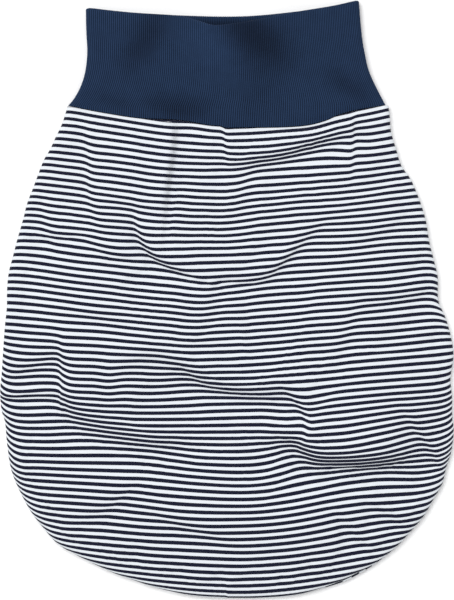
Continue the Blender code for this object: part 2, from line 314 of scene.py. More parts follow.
# Wider places where the cloth is shifted as a whole: x, y, reach along x and y, and how much
# more cloth lies above the place than its row alone would say. Millimetres.
SHIFTS = (
    (45, 68, 40, 34, 3.4), (-65, 72, 30, 42, -2.0), (-160, 30, 30, 40, 1.9),
    (-20, 8, 42, 30, -2.0), (125, 12, 35, 30, -1.5), (158, 50, 22, 25, -1.8),
    (90, -110, 30, 26, -3.8), (92, -172, 36, 20, 2.4), (-145, -74, 22, 22, 2.8),
    (-52, -54, 26, 12, -3.0), (-90, -172, 36, 22, 1.3), (10, -152, 42, 26, -1.5),
    (56, -78, 22, 10, -2.4), (68, 134, 20, 12, -2.2), (-27, 138, 14, 9, 1.9),
    (-94, -66, 9, 18, -1.6), (40, 118, 26, 12, -1.6), (-168, -136, 12, 16, -1.8),
)  # fmt: skip
SAMPLE = 3 * MM  # between the places along a fold that are weighed together
BLEND = 9 * MM  # how far apart they are still weighed together
FADE = 14 * MM  # how far past its ends a fold fades out


def to_fold(points, ends, x, y):
    """How far each place is to the right of a fold's line, and how strong the fold is there."""
    line = resampled(spline(points), SAMPLE)
    along = np.gradient(line, axis=0)
    along /= np.hypot(*along.T)[:, None]
    share = np.linspace(0, 1, len(line))
    taper = np.ones(len(line))
    if ends[0]:
        taper = taper * ease(share / ends[0])
    if ends[1]:
        taper = taper * ease((1 - share) / ends[1])
    squares = (x - line[:, :1]) ** 2 + (y - line[:, 1:]) ** 2
    nearest = squares.min(axis=0)
    weight = np.exp(-(squares - nearest) / (2 * BLEND**2))
    weight /= weight.sum(axis=0)
    right = (x - line[:, :1]) * along[:, 1:] - (y - line[:, 1:]) * along[:, :1]
    right = (weight * right).sum(axis=0)
    past = np.sqrt(np.clip(nearest - right * right, 0, None))
    return right, (weight * taper[:, None]).sum(axis=0) * bump(past, FADE)


def row_rise(x, cloth):
    """How far a row of stitches lies above its middle, at x."""
    i = np.clip(np.searchsorted(ROWS[:, 0], cloth) - 1, 0, len(ROWS) - 2)
    share = np.clip((cloth - ROWS[i, 0]) / (ROWS[i + 1, 0] - ROWS[i, 0]), 0, 1)
    share = 0.4 * share + 0.6 * ease(share)
    left, right, middle, bow = (ROWS[i, j] * (1 - share) + ROWS[i + 1, j] * share for j in range(1, 5))
    out = np.sqrt((x - middle) ** 2 + bow**2) - bow
    full = np.sqrt(BOW_REACH**2 + bow**2) - bow
    return np.where(x < middle, left, right) * out / full


def lie(x, y, distance):
    """(distance from the waist seam along the cloth, height that the folds add) at each place."""
    cloth = WAIST_MIDDLE - y
    for _ in range(8):  # a row's own bow decides how far down it is
        cloth = SPARE * (WAIST_MIDDLE - y + row_rise(x, cloth))
    turn = np.where(x < 0, np.interp(cloth, *LEFT_TURN.T), np.interp(cloth, *RIGHT_TURN.T))
    cloth = cloth + turn * np.exp(-distance / TURN_REACH) + np.interp(cloth, *RIPPLES.T)
    height = np.zeros_like(x)
    for left, up, wide, high, shift in SHIFTS:
        apart = np.hypot((x - left * MM) / (wide * MM), (y - up * MM) / (high * MM))
        cloth = cloth + shift * MM * bump(apart, 1)
    for _name, points, take, wide, reach, high, ends, below in FOLDS:
        right, strength = to_fold(points, ends, x, y)
        strength = strength * bump(right, reach * MM)
        step = np.tanh(right / (wide * MM))
        cloth = cloth + take * MM * strength * (step / 2 + below - 0.5)
        height = height - high * MM * strength * step
    return cloth, height


print(len(FOLDS), "folds")

# %% [markdown]
# ## Heights
#
# The front stands up from the side seam in a small roll and rises to the belly. The back lies on
# the table. Both come down into the seam at the waist.


# %% Height of each layer
SEAM_DIP = 2.6 * MM
SEAM_DIP_REACH = 3.2 * MM
SEAM_DIP_START = 9 * MM  # from the side seam to where the dip is at its full depth
SEAM_CALM = 8 * MM  # how far from the waist seam the folds reach their full height


def roll(distance):
    """The rolled edge's profile: upright at the edge, 1 where the roll ends."""
    left = 1 - np.clip(distance / ROLL_WIDTH, 0, 1)
    return np.sqrt(1 - left * left)


def round_the_roll(distance):
    """How much longer the cloth's way round the rolled edge is than its way on the plan."""
    turn = math.pi / 2 - np.arccos(1 - np.clip(distance / ROLL_WIDTH, 0, 1))
    return (ROLL_WIDTH + EDGE_HEIGHT) / 2 * turn - ROLL_WIDTH * np.sin(turn)


def crown(y, distance):
    """How much the front stands above its shoulder."""
    full = ease((WAIST_MIDDLE - y) / BELLY_DISTANCE)
    top = WAIST_HEIGHT + (BELLY_HEIGHT - WAIST_HEIGHT) * full
    return (top - SHOULDER_HEIGHT) * ease(distance / CROWN_REACH)


def front_height(y, distance, depth=0.0, inset=0.0):
    """Height of a front layer depth under the outer one, whose own edge is inset from it."""
    stand = (SHOULDER_HEIGHT - depth - EDGE_HEIGHT) * roll(distance)
    return EDGE_HEIGHT + RIM_GAP / 2 + stand + crown(y, distance + inset)


def near_waist(x, y, distance, folds):
    """Height that folds add, once both edges at the waist are drawn down into their seam."""
    away = np.abs(height_of(WAIST_SEAM, x) - y)
    dip = SEAM_DIP * np.exp(-away / SEAM_DIP_REACH) * ease(distance / SEAM_DIP_START)
    return folds * ease((away + 1 * MM) / SEAM_CALM) - dip


def back_height(distance, depth=0.0):
    """Height of a back layer depth above the table."""
    edge = EDGE_HEIGHT - RIM_GAP / 2
    return edge - (edge - depth) * roll(distance)


# %% [markdown]
# ## A panel of cloth
#
# A panel needs fine, even triangles, because it bends everywhere, and finer rows round its rolled
# edge. A plain grid would cut the outline into steps. So the rolled edge is built as rings that
# follow the outline, and the middle is filled with an even field of points that Blender's own
# Delaunay function joins. The cloth coordinates go into a UV map in metres, and Solidify gives the
# sheet its thickness.


# %% Panel maker
ROLL_TURNS = (0, 15, 33, 54, 74, 90)  # degrees round the rolled edge
INNER_RING = 8 * MM
FOOT_SHADE = 0.2  # painted shade: the rows by the foot show more of their navy, so the foot is darker
CLEAR = 0.65  # of a cell, between the field's points and the rings


def field_inside(loop, cell):
    """Evenly spread points inside a closed line."""
    low, high = loop.min(axis=0), loop.max(axis=0)
    rows = np.arange(low[1], high[1], cell * math.sqrt(3) / 2)
    x, y = np.meshgrid(np.arange(low[0], high[0], cell), rows)
    x = x + (np.arange(len(rows)) % 2)[:, None] * cell / 2
    x, y = x.ravel(), y.ravel()
    inside = np.zeros(len(x), bool)
    for (ax, ay), (bx, by) in zip(loop, np.roll(loop, -1, axis=0)):
        crosses = (ay > y) != (by > y)
        if ay != by:
            inside ^= crosses & (x < (bx - ax) * (y - ay) / (by - ay) + ax)
    x, y = x[inside], y[inside]
    clear = distance_to(np.vstack([loop, loop[:1]]), x, y) > CLEAR * cell
    return np.column_stack([x[clear], y[clear]])


def flat_panel(edge, cell):
    """(points, faces) of a flat panel inside a sewn edge and the waist seam."""
    span = np.linspace(edge[-1, 0], edge[0, 0], int((edge[-1, 0] - edge[0, 0]) / cell) + 1)[1:-1]
    top = np.column_stack([span, height_of(WAIST_SEAM, span) - SEW_GAP])
    outline = np.vstack([edge, top])
    outline[[0, len(edge) - 1], 1] -= SEW_GAP
    towards = MIDDLE - outline
    towards /= np.hypot(*towards.T)[:, None]
    insets = [ROLL_WIDTH * (1 - math.cos(math.radians(turn))) for turn in ROLL_TURNS]
    rings = [outline + towards * inset for inset in (*insets, INNER_RING)]
    count = len(outline)
    faces = []
    for ring in range(len(rings) - 1):
        for i in range(count):
            j = (i + 1) % count
            a, b = ring * count, (ring + 1) * count
            faces.append((a + i, a + j, b + j, b + i))
    field = field_inside(rings[-1], cell)
    inner = [Vector(p) for p in np.vstack([rings[-1], field])]
    found = delaunay_2d_cdt(inner, [(i, (i + 1) % count) for i in range(count)], [], 1, 1e-7)
    first = count * (len(rings) - 1)
    place = {i: first + sources[0] for i, sources in enumerate(found[3]) if sources}
    for face in found[2]:
        faces.append(tuple(place[i] for i in face))
    return np.vstack([*rings, field]), faces


def cloth_object(name, points, faces, uv, gather_shade):
    """A mesh object with that name, a UV map in metres of cloth, and how gathered it is, for painted
    shade.
    """
    mesh = bpy.data.meshes.new(name)
    mesh.from_pydata(points.tolist(), [], faces)
    layer = mesh.uv_layers.new(name="cloth")
    corners = np.empty(len(mesh.loops), np.int32)
    mesh.loops.foreach_get("vertex_index", corners)
    layer.data.foreach_set("uv", uv[corners].astype(np.float32).ravel())
    gather_shade_layer = mesh.attributes.new("gather_shade", "FLOAT", "POINT")
    gather_shade_layer.data.foreach_set("value", gather_shade.astype(np.float32))
    mesh.shade_smooth()
    made = bpy.data.objects.new(name, mesh)
    bpy.context.scene.collection.objects.link(made)
    return made


def alone(piece):
    """Makes a piece the only selected one."""
    bpy.ops.object.select_all(action="DESELECT")
    piece.select_set(True)
    bpy.context.view_layer.objects.active = piece


def add_thickness(piece, thickness):
    """Gives a sheet its thickness, on its inner side, with Solidify."""
    alone(piece)
    wall = piece.modifiers.new("thickness", "SOLIDIFY")
    wall.thickness = thickness
    wall.offset = -1
    bpy.ops.object.modifier_apply(modifier=wall.name)


# %% [markdown]
# ## Let the top sheet settle
#
# The front then relaxes for a moment with Blender's Cloth, pinned along its seams. While it settles
# the cloth is a little longer than the room it has, so the laid folds soften. It has no gravity,
# because it already lies where it should, and a limit on how far a point may move keeps the sheet
# clear of the lining.

# %% Settling
SETTLE_FRAMES = 10
SETTLE_MOST = 1.2 * MM  # no point moves further than this
SETTLE_SPARE = 0.015  # how much longer the cloth is while it settles
PINNED_EDGE = 14 * MM  # how far in from the seams the sheet is still held
PIN_LEVELS = 20


def places_of(mesh):
    """The places of a mesh's points, one row each."""
    places = np.empty(len(mesh.vertices) * 3, np.float32)
    mesh.vertices.foreach_get("co", places)
    return places.reshape(-1, 3)


def settle(piece, from_edge):
    """Runs Cloth for a few frames, caps how far each point moves, and keeps the result."""
    start = places_of(piece.data)
    pinned = piece.vertex_groups.new(name="pinned")
    levels = np.round((1 - ease(from_edge / PINNED_EDGE)) * PIN_LEVELS) / PIN_LEVELS
    for level in np.unique(levels):
        pinned.add(np.flatnonzero(levels == level).tolist(), float(level), "REPLACE")
    cloth = piece.modifiers.new("settle", "CLOTH")
    rules = cloth.settings
    rules.quality = 4
    rules.mass = 0.01
    rules.tension_stiffness = rules.compression_stiffness = 12
    rules.bending_stiffness = 0.4
    rules.shrink_min = -SETTLE_SPARE
    rules.vertex_group_mass = "pinned"
    rules.effector_weights.gravity = 0
    cloth.collision_settings.use_collision = False
    cloth.point_cache.frame_end = SETTLE_FRAMES
    for frame_number in range(1, SETTLE_FRAMES + 1):
        bpy.context.scene.frame_set(frame_number)
    move = places_of(piece.evaluated_get(bpy.context.evaluated_depsgraph_get()).data) - start
    far = np.linalg.norm(move, axis=1, keepdims=True)
    piece.modifiers.remove(cloth)
    piece.vertex_groups.remove(pinned)
    bpy.context.scene.frame_set(1)
    move *= np.minimum(1, SETTLE_MOST / np.maximum(far, 1e-9))
    piece.data.vertices.foreach_set("co", (start + move).ravel())
    piece.data.update()
    print(piece.name, "moved by", (np.linalg.norm(move, axis=1).mean() / MM).round(2), "mm on average")


# %% [markdown]
# ## Make the four panels
#
# Shell and lining have a front and a back each. The lining is the same pattern, cut smaller, and
# lies inside the shell. The cut's area is measured in the cloth's own coordinates, before any fold
# or roll, so it can be compared with the finished sheet.


# %% The four panels
PEEK = 1.5 * MM  # how far the back shows past the front
COARSE = 3.2 * MM  # size of the triangles where the cloth hardly shows
FOLD_START = 22 * MM  # from the side seam to where the folds have their full height
PROBE = 0.1 * MM  # a short way to look which side of the outline faces the foot
GATHER_PROBE = 0.5 * MM  # a short way down, to see how much cloth lies in it
FOOT_SHADE_END = 400 * MM  # along the cloth, where the painted shade by the foot is full


def cut_area(x, cloth, faces):
    """Area of the panel as cut: its faces' area in the cloth's own flat coordinates."""
    total = 0.0
    for face in faces:
        across, along = x[list(face)], cloth[list(face)]
        total += abs(across @ np.roll(along, -1) - along @ np.roll(across, -1)) / 2
    return float(total)


def panel(name, cell, is_front, depth=0.0, inset=0.0, extra=0.0):
    """A whole panel. Returns its object and its flat size in metres: width, length and area."""
    edge = sewn_edge(extra)
    if inset:
        edge = resampled(inward(edge, inset), cell)
        edge[[0, -1], 1] = height_of(WAIST_SEAM, edge[[0, -1], 0])
    flat, faces = flat_panel(edge, cell)
    x, y = flat.T
    distance = distance_to(edge, x, y)
    facing_foot = (distance_to(edge, x, y + PROBE) - distance) / PROBE
    gather_shade = np.zeros_like(x)
    if is_front:
        cloth, folds = lie(x, y, distance + inset)
        lower = lie(x, y - GATHER_PROBE, distance + inset)[0]
        # Painted shade: how gathered the cloth is, plus more towards the foot; the stripes' navy
        # widens by it.
        gather_shade = (lower - cloth) / (GATHER_PROBE * SPARE) - 1 + FOOT_SHADE * ease(cloth / FOOT_SHADE_END)
        z = front_height(y, distance, depth, inset)
        z += near_waist(x, y, distance, folds * ease((distance + inset) / FOLD_START))
    else:
        cloth = SPARE * (WAIST_MIDDLE - y + row_rise(x, WAIST_MIDDLE - y))
        z = back_height(distance, depth)
        faces = [face[::-1] for face in faces]
    cloth = cloth + round_the_roll(distance) * np.clip(facing_foot, 0, 1)
    places = np.column_stack([x, y, z])
    made = cloth_object(name, places, faces, np.column_stack([x, cloth]), gather_shade)
    if is_front and not inset:
        settle(made, np.minimum(distance, np.abs(height_of(WAIST_SEAM, x) - y)))
    area = cut_area(x, cloth, faces)
    add_thickness(made, JERSEY)
    size = (2 * float(np.abs(x).max()), float(cloth.max() - cloth.min()))
    print(name, len(made.data.polygons), "faces, cut", [round(s, 3) for s in size], round(area, 4))
    return made, size, area


shell_front, front_size, front_area = panel("striped_front", CELL, True)
shell_back, back_size, back_area = panel("striped_back", COARSE, False, extra=PEEK)
inner = (LINING_DEPTH, LINING_EASE)
lining_front, inner_size, inner_area = panel("lining_top", COARSE, True, *inner)
lining_back, under_size, under_area = panel("lining_under", 4 * MM, False, *inner)

# %% [markdown]
# ## The ribbed waistband
#
# The waistband is one tube of rib knit, folded double: the outer ply runs up from the waist seam,
# turns over at the mouth and comes back down inside. It is built as a sheet of points, one column
# of points after another round the tube and one row after another along it. The ribs are real
# geometry: every fourth column stands up and the ones between sink back.


# %% Waistband
WALES = 300  # ribs round the tube
PER_WALE = 4
TUBE_ROUND = 464 * MM  # length round the slack tube, before it is sewn on
RIB_SPACING = TUBE_ROUND / WALES
RIB_DEPTH = 0.42 * MM
PLY_SPACE = 3.6 * MM  # from the outer ply's face to the inner ply's
PLY_EASE = 8 * MM  # how much further in the inner ply's side fold lies
SIDE_ARC = 8.2 * MM  # length of the rolled side
LEAN = 5 * MM  # how far the ribs lean to the right at the mouth's middle
DENT_START = 15 * MM  # from the side fold to where the dents have their full depth
FIRST_HALF = 110 * MM  # half of the band's width, as the first guess
MOUTH_LIFT = 7 * MM
BAND_ROWS = 22
FOLD_ROWS = 5
FULL_SHADE_DEPTH = 4  # depth of a dent, in millimetres, whose painted shade counts as full
INNER_SHADE = 3.0  # painted shade on the inner ply inside the mouth, as dark as in a dent of this many millimetres
# The side folds, from the waist up.
BAND_LEFT = spline([
    (-127.5, 155), (-122.4, 161), (-117, 171), (-113.4, 183), (-111.8, 198), (-112.6, 215),
    (-113, 235),
])  # fmt: skip
BAND_RIGHT = spline([
    (127, 155.5), (120.5, 168), (114, 182), (110.5, 196), (107.7, 213), (105.4, 241),
])  # fmt: skip
# Where the front sinks or stands: line, depth, width, how its ends fade. Millimetres.
BAND_DENTS = (
    ([(8, 226), (19, 213), (34, 201), (50, 188)], 4.2, 16, (0.02, 0.35)),
    ([(-57, 227), (-62, 212), (-72, 196), (-82, 182)], 2.6, 12, (0.1, 0.35)),
    ([(-58, 158), (-42, 153), (-18, 151)], 3.0, 9, (0.25, 0.3)),
    ([(-96, 160), (-84, 156)], 2.0, 6, (0.3, 0.3)),
    ([(88, 176), (98, 170), (106, 165)], 2.4, 8, (0.3, 0.3)),
    ([(26, 188), (25, 160), (22, 148)], 1.0, 18, (0.3, 0.2)),
    ([(-24, 214), (-8, 198), (0, 180)], -1.6, 16, (0.2, 0.5)),
)


def dents(x, y):
    """How deep the waistband's front sinks at each place, in millimetres."""
    deep = np.zeros_like(x)
    for points, sink, wide, ends in BAND_DENTS:
        right, strength = to_fold(points, ends, x, y)
        deep += sink * strength * bump(right, wide * MM)
    return deep


def band_ply(up, is_front, is_inner):
    """One row of points of a ply, from its left side fold to its right one, up from the waist."""
    columns = WALES // 2 * PER_WALE
    share = (np.arange(columns) + 0.5) / columns
    depth = PLY_SPACE * is_inner
    inset = PLY_EASE * is_inner
    mouth = MOUTH_FRONT if is_front else MOUTH_BACK
    x = (share * 2 - 1) * FIRST_HALF
    for _ in range(4):  # x and y each depend on the other
        low = height_of(WAIST_SEAM, x) + SEW_GAP
        y = low + (height_of(mouth, x) - PLY_SPACE / 2 - low) * up
        left = np.interp(y, BAND_LEFT[:, 1], BAND_LEFT[:, 0])
        right = np.interp(y, BAND_RIGHT[:, 1], BAND_RIGHT[:, 0])
        centre = (left + right) / 2
        reach = (right - left) / 2 - inset
        flat = reach - ROLL_WIDTH
        half_length = flat + SIDE_ARC
        lean = LEAN * up * np.sin(math.pi * share)
        along = np.clip((share * 2 - 1) * half_length + lean, -half_length, half_length)
        past = np.clip(np.abs(along) - flat, 0, SIDE_ARC) / SIDE_ARC * math.pi / 2
        distance = ROLL_WIDTH * (1 - np.sin(past)) + np.clip(flat - np.abs(along), 0, 1)
        x = np.sign(along) * (reach - distance) + centre
    if is_front:
        z = front_height(y, distance, depth, inset)
        across = np.clip(1 - np.abs(x - centre) / reach, 0, 1)
        z += MOUTH_LIFT * up**1.4 * ease(across)
        z += near_waist(x, y, distance, -dents(x, y) * MM * ease(distance / DENT_START))
    else:
        z = back_height(distance, depth)
    return np.column_stack([x, y, z])


def band_rows(is_front):
    """The rows of half the tube: up the outer ply, over the fold, down the inner ply."""
    rows = [band_ply(i / BAND_ROWS, is_front, 0) for i in range(BAND_ROWS + 1)]
    outer, inner = band_ply(1.0, is_front, 0), band_ply(1.0, is_front, 1)
    for i in range(1, FOLD_ROWS):
        turn = math.pi * i / FOLD_ROWS
        half = (outer - inner) / 2
        forward = np.array((0, PLY_SPACE / 2 * math.sin(turn), 0))
        rows.append(inner + half * (1 + math.cos(turn)) + forward)
    rows += [band_ply(1 - i / (BAND_ROWS - 4), is_front, 1) for i in range(BAND_ROWS - 3)]
    return np.array(rows)


def make_band():
    """The whole waistband as a tube of points with ribs, and its flat size."""
    front, back = band_rows(True), band_rows(False)
    tube = np.concatenate([front, back[:, ::-1]], axis=1)
    rows, columns = tube.shape[:2]
    round_it = np.roll(tube, -1, axis=1) - np.roll(tube, 1, axis=1)
    normal = np.cross(round_it, np.gradient(tube, axis=0))
    normal /= np.maximum(np.linalg.norm(normal, axis=2), 1e-12)[:, :, None]
    groove = 0.5 - 0.5 * np.cos(2 * math.pi * np.arange(columns) / PER_WALE)
    tube = tube - normal * (groove * RIB_DEPTH)[None, :, None]
    index = np.arange(rows * columns).reshape(rows, columns)
    right = np.roll(index, -1, axis=1)
    faces = np.stack([index[:-1], right[:-1], right[1:], index[1:]], axis=2).reshape(-1, 4)
    steps = np.linalg.norm(np.diff(tube, axis=0), axis=2).mean(axis=1)
    along = np.concatenate([[0], np.cumsum(steps)])
    mesh = bpy.data.meshes.new("ribbed_waistband")
    mesh.from_pydata(tube.reshape(-1, 3).tolist(), [], faces.tolist())
    layer = mesh.uv_layers.new(name="cloth")
    row, column = np.divmod(np.array(faces), columns)
    column = np.where((column == 0) & (column.max(axis=1) == columns - 1)[:, None], columns, column)
    uv = np.stack([column / PER_WALE * RIB_SPACING, along[row]], axis=2)
    layer.data.foreach_set("uv", uv.astype(np.float32).ravel())
    # Painted shade: darker in the front's dents and on the inner ply inside the mouth.
    painted_shade = mesh.attributes.new("painted_shade", "FLOAT", "POINT")
    points = tube.reshape(-1, 3)
    row, column = np.divmod(np.arange(len(points)), columns)
    deep = dents(points[:, 0], points[:, 1]) * (column < columns / 2)
    deep += INNER_SHADE * (row > BAND_ROWS + FOLD_ROWS)
    painted_shade.data.foreach_set("value", (deep / FULL_SHADE_DEPTH).astype(np.float32))
    mesh.shade_smooth()
    made = bpy.data.objects.new("ribbed_waistband", mesh)
    bpy.context.scene.collection.objects.link(made)
    print(made.name, len(mesh.polygons), "faces", "ribs", round(RIB_SPACING / MM, 2), "mm apart")
    return made, (TUBE_ROUND, float(along[-1]))


waistband, band_size = make_band()

# %% [markdown]
# ## Overlocked seams
#
# Inside the bag every raw edge is overlocked: a narrow strip of cloth with loops of thread round
# it. One stitch is modelled: a short box for the strip, and a flattened circle turned into a round
# thread. Array repeats it and a Curve modifier bends the row along the seam line.

# %% One stitch, and the seam maker
STITCH = 2.4 * MM
SEAM_WIDTH = 4 * MM
TAPE = 0.7 * MM
THREAD = 0.16 * MM
SEAM_IN = 3.9 * MM  # from a panel's edge to the middle of its seam allowance
LINING_SEAM_IN = 9 * MM
BAND_SEAM_IN = 4.4 * MM
SEAM_END = 7 * MM  # how far below the waist the side seams stop
WAIST_SEAM_END = 106 * MM  # how far from the middle the waist's allowances reach
BAND_SEAM_SPAN = (159 * MM, 224 * MM)  # where the band's side seams start and end
LOOP_SLANT = 24  # degrees


def one_stitch():
    """A short piece of strip with one slanted loop of thread round it."""
    bpy.ops.object.select_all(action="DESELECT")
    size = (STITCH, SEAM_WIDTH, TAPE)
    bpy.ops.mesh.primitive_cube_add(size=1, location=(STITCH / 2, 0, 0), scale=size)
    strip = bpy.context.object
    bpy.ops.object.transform_apply(location=True, rotation=True, scale=True)
    bpy.ops.object.mode_set(mode="EDIT")
    bpy.ops.mesh.select_all(action="DESELECT")
    bpy.ops.object.mode_set(mode="OBJECT")
    for face in strip.data.polygons:
        face.select = abs(face.normal.x) > 0.9
    bpy.ops.object.mode_set(mode="EDIT")
    bpy.ops.mesh.select_mode(type="FACE")
    bpy.ops.mesh.delete(type="FACE")
    bpy.ops.object.mode_set(mode="OBJECT")
    bpy.ops.object.select_all(action="DESELECT")
    across = SEAM_WIDTH / 2 + THREAD / 2
    bpy.ops.mesh.primitive_circle_add(
        vertices=10, radius=across, location=(STITCH / 2, 0, 0),
        rotation=(0, math.radians(90), math.radians(LOOP_SLANT)),
    )  # fmt: skip
    loop = bpy.context.object
    loop.scale.x = (TAPE / 2 + THREAD) / across
    bpy.ops.object.transform_apply(location=True, rotation=True, scale=True)
    bpy.ops.object.convert(target="CURVE")
    loop = bpy.context.object
    loop.data.bevel_depth = THREAD
    loop.data.bevel_resolution = 0
    bpy.ops.object.convert(target="MESH")
    loop = bpy.context.object
    strip.select_set(True)
    bpy.context.view_layer.objects.active = strip
    bpy.ops.object.join()
    return strip


def overlocked(name, places):
    """A seam allowance along a line of places, made of stitches."""
    path = bpy.data.curves.new("seam_line", "CURVE")
    path.dimensions = "3D"
    path.twist_mode = "Z_UP"
    run = path.splines.new("POLY")
    run.points.add(len(places) - 1)
    run.points.foreach_set("co", np.column_stack([places, np.ones(len(places))]).ravel())
    guide = bpy.data.objects.new("seam_line", path)
    bpy.context.scene.collection.objects.link(guide)
    seam = one_stitch()
    seam.name = seam.data.name = name
    row = seam.modifiers.new("row", "ARRAY")
    row.fit_type = "FIT_LENGTH"
    row.fit_length = float(np.linalg.norm(np.diff(places, axis=0), axis=1).sum()) - STITCH
    row.use_relative_offset = False
    row.use_constant_offset = True
    row.constant_offset_displace = (STITCH, 0, 0)
    row.use_merge_vertices = True
    row.merge_threshold = 0.02 * MM
    bend = seam.modifiers.new("bend", "CURVE")
    bend.object = guide
    alone(seam)
    bpy.ops.object.modifier_apply(modifier="row")
    bpy.ops.object.modifier_apply(modifier="bend")
    bpy.ops.object.mode_set(mode="EDIT")
    bpy.ops.mesh.select_all(action="SELECT")
    bpy.ops.mesh.fill_holes(sides=4)
    bpy.ops.mesh.select_all(action="SELECT")
    bpy.ops.mesh.normals_make_consistent(inside=False)
    bpy.ops.object.mode_set(mode="OBJECT")
    bpy.data.objects.remove(guide)
    print(name, len(seam.data.polygons), "faces")
    return seam


def at_height(line, height):
    """The places of a flat line, all at one height."""
    return np.column_stack([line, np.full(len(line), height)])


def side_seam(name, inset):
    """The seam allowance round the sides and the foot, stopping short of the waist."""
    line = resampled(inward(sewn_edge(), inset), STITCH)
    short = line[:, 1] < height_of(WAIST_SEAM, line[:, 0]) - SEAM_END
    return overlocked(name, at_height(line[short], EDGE_HEIGHT))


def waist_seam(name, is_front):
    """The allowance that hangs from the waist seam, between shell and lining."""
    x = np.linspace(-WAIST_SEAM_END, WAIST_SEAM_END, 90)
    y = height_of(WAIST_SEAM, x) - SEAM_IN
    deep = LINING_DEPTH / 2 + JERSEY / 2
    if is_front:
        distance = distance_to(sewn_edge(), x, y)
        z = front_height(y, distance) - deep
        z += near_waist(x, y, distance, lie(x, y, distance)[1])
    else:
        z = np.full(len(x), deep)
    return overlocked(name, np.column_stack([x, y, z]))


def band_side_seam(name, side_fold, side):
    """The allowance of the waistband's side seam, between its plies."""
    y = np.linspace(*BAND_SEAM_SPAN, 40)
    x = np.interp(y, side_fold[:, 1], side_fold[:, 0]) - side * BAND_SEAM_IN
    return overlocked(name, at_height(np.column_stack([x, y]), EDGE_HEIGHT))


seams = {
    "shell_side_seam": side_seam("overlocked_side", SEAM_IN),
    "lining_side_seam": side_seam("overlocked_lining_side", LINING_SEAM_IN),
    "waist_seam_back": waist_seam("overlocked_waist_back", False),
    "waist_seam_front": waist_seam("overlocked_waist_front", True),
    "waistband_side_seam_left": band_side_seam("overlocked_band_left", BAND_LEFT, -1),
    "waistband_side_seam_right": band_side_seam("overlocked_band_right", BAND_RIGHT, 1),
}

# %% [markdown]
# ## Care label
#
# A folded satin ribbon is sewn into the left seam of the lining, with nothing printed on it. It is
# made as a person would fold it: a grid is the lower ply, its far edge is spun half a turn into
# the fold, and then pulled back row by row over the lower ply. Solidify gives it its thickness.

# %% Care label
label_low, label_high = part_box("care_label")
RIBBON = 0.22 * MM
FOLD_RADIUS = 0.35 * MM
RIBBON_START = 1.5 * MM  # caught in the lining's seam
PULLS = 10
BELLY_STEP = 0.12 * MM  # the first pull's rise, so the upper ply bellies a little


def care_label():
    """The folded ribbon, and the size that it was cut to."""
    middle = (label_low + label_high) / 2
    length = label_high.x - label_low.x + RIBBON_START - 2 * FOLD_RADIUS
    width = label_high.y - label_low.y
    bottom = middle.z - FOLD_RADIUS
    start = label_low.x - RIBBON_START
    bpy.ops.object.select_all(action="DESELECT")
    bpy.ops.mesh.primitive_grid_add(
        x_subdivisions=PULLS, y_subdivisions=8, size=1, location=(start + length / 2, middle.y, bottom)
    )
    ribbon = bpy.context.object
    ribbon.name = ribbon.data.name = "care_ribbon"
    ribbon.scale = (length, width, 1)
    bpy.ops.object.transform_apply(location=True, rotation=True, scale=True)
    bpy.ops.object.mode_set(mode="EDIT")
    bpy.ops.mesh.select_mode(type="VERT")
    bpy.ops.mesh.select_all(action="DESELECT")
    bpy.ops.object.mode_set(mode="OBJECT")
    for vertex in ribbon.data.vertices:  # the far edge
        vertex.select = vertex.co.x > start + length - 0.1 * MM
    bpy.ops.object.mode_set(mode="EDIT")
    fold = (start + length, middle.y, bottom + FOLD_RADIUS)
    bpy.ops.mesh.spin(steps=6, angle=-math.pi, center=fold, axis=(0, 1, 0))
    for pull in range(PULLS):
        step = (-length / PULLS, 0, BELLY_STEP * math.cos(math.pi * pull / PULLS))
        bpy.ops.mesh.extrude_edges_move(TRANSFORM_OT_translate={"value": step})
    bpy.ops.mesh.select_all(action="SELECT")
    bpy.ops.mesh.remove_doubles(threshold=0.01 * MM)
    bpy.ops.mesh.normals_make_consistent(inside=False)
    bpy.ops.object.mode_set(mode="OBJECT")
    add_thickness(ribbon, RIBBON)
    bpy.ops.object.shade_smooth_by_angle(angle=math.radians(40))
    places = places_of(ribbon.data) / MM
    print("care ribbon from", places.min(axis=0).round(2), "to", places.max(axis=0).round(2), "mm")
    return ribbon, (width, 2 * length + math.pi * FOLD_RADIUS)


label, label_size = care_label()

# %% [markdown]
# ## Colours and the node helper
#
# Colours are written as the hex values that a designer would pick, and one function turns them
# into the linear numbers that the shader works with. One helper adds any node.


# %% Material helpers
def linear(code):
    """An sRGB hex colour as linear RGBA."""
    parts = [int(code[i : i + 2], 16) / 255 for i in (1, 3, 5)]
    return (*((c / 12.92 if c <= 0.04045 else ((c + 0.055) / 1.055) ** 2.4) for c in parts), 1.0)


def add(material, kind, inputs=None, **settings):
    """Adds a node with its settings, and its inputs linked or set by their name or number."""
    node = material.node_tree.nodes.new(kind)
    for name, value in settings.items():
        setattr(node, name, value)
    for name, value in (inputs or {}).items():
        if isinstance(value, bpy.types.NodeSocket):
            material.node_tree.links.new(value, node.inputs[name])
        else:
            node.inputs[name].default_value = value
    return node


def new_material(name):
    """A material and its Principled shader."""
    made = bpy.data.materials.new(name)
    made.use_nodes = True
    return made, made.node_tree.nodes["Principled BSDF"]


def maths(material, operation, first, second=0.0, third=0.0):
    """The result of one step of arithmetic."""
    inputs = {0: first, 1: second, 2: third}
    return add(material, "ShaderNodeMath", inputs, operation=operation).outputs[0]


def swayed(material, value, amount, base):
    """base, plus amount times how far the value is above a half."""
    return maths(material, "MULTIPLY_ADD", maths(material, "SUBTRACT", value, 0.5), amount, base)


def surface(material, shader, colour, height, strength, depth, roughness):
    """Gives the shader its colour, a relief of that strength and depth, and its roughness."""
    relief = {"Height": height, "Strength": strength, "Distance": depth}
    bumped = add(material, "ShaderNodeBump", relief).outputs[0]
    material.node_tree.links.new(colour, shader.inputs["Base Color"])
    material.node_tree.links.new(bumped, shader.inputs["Normal"])
    shader.inputs["Roughness"].default_value = roughness


def finish_with(piece, material):
    """Makes the material the piece's only one."""
    piece.data.materials.clear()
    piece.data.materials.append(material)
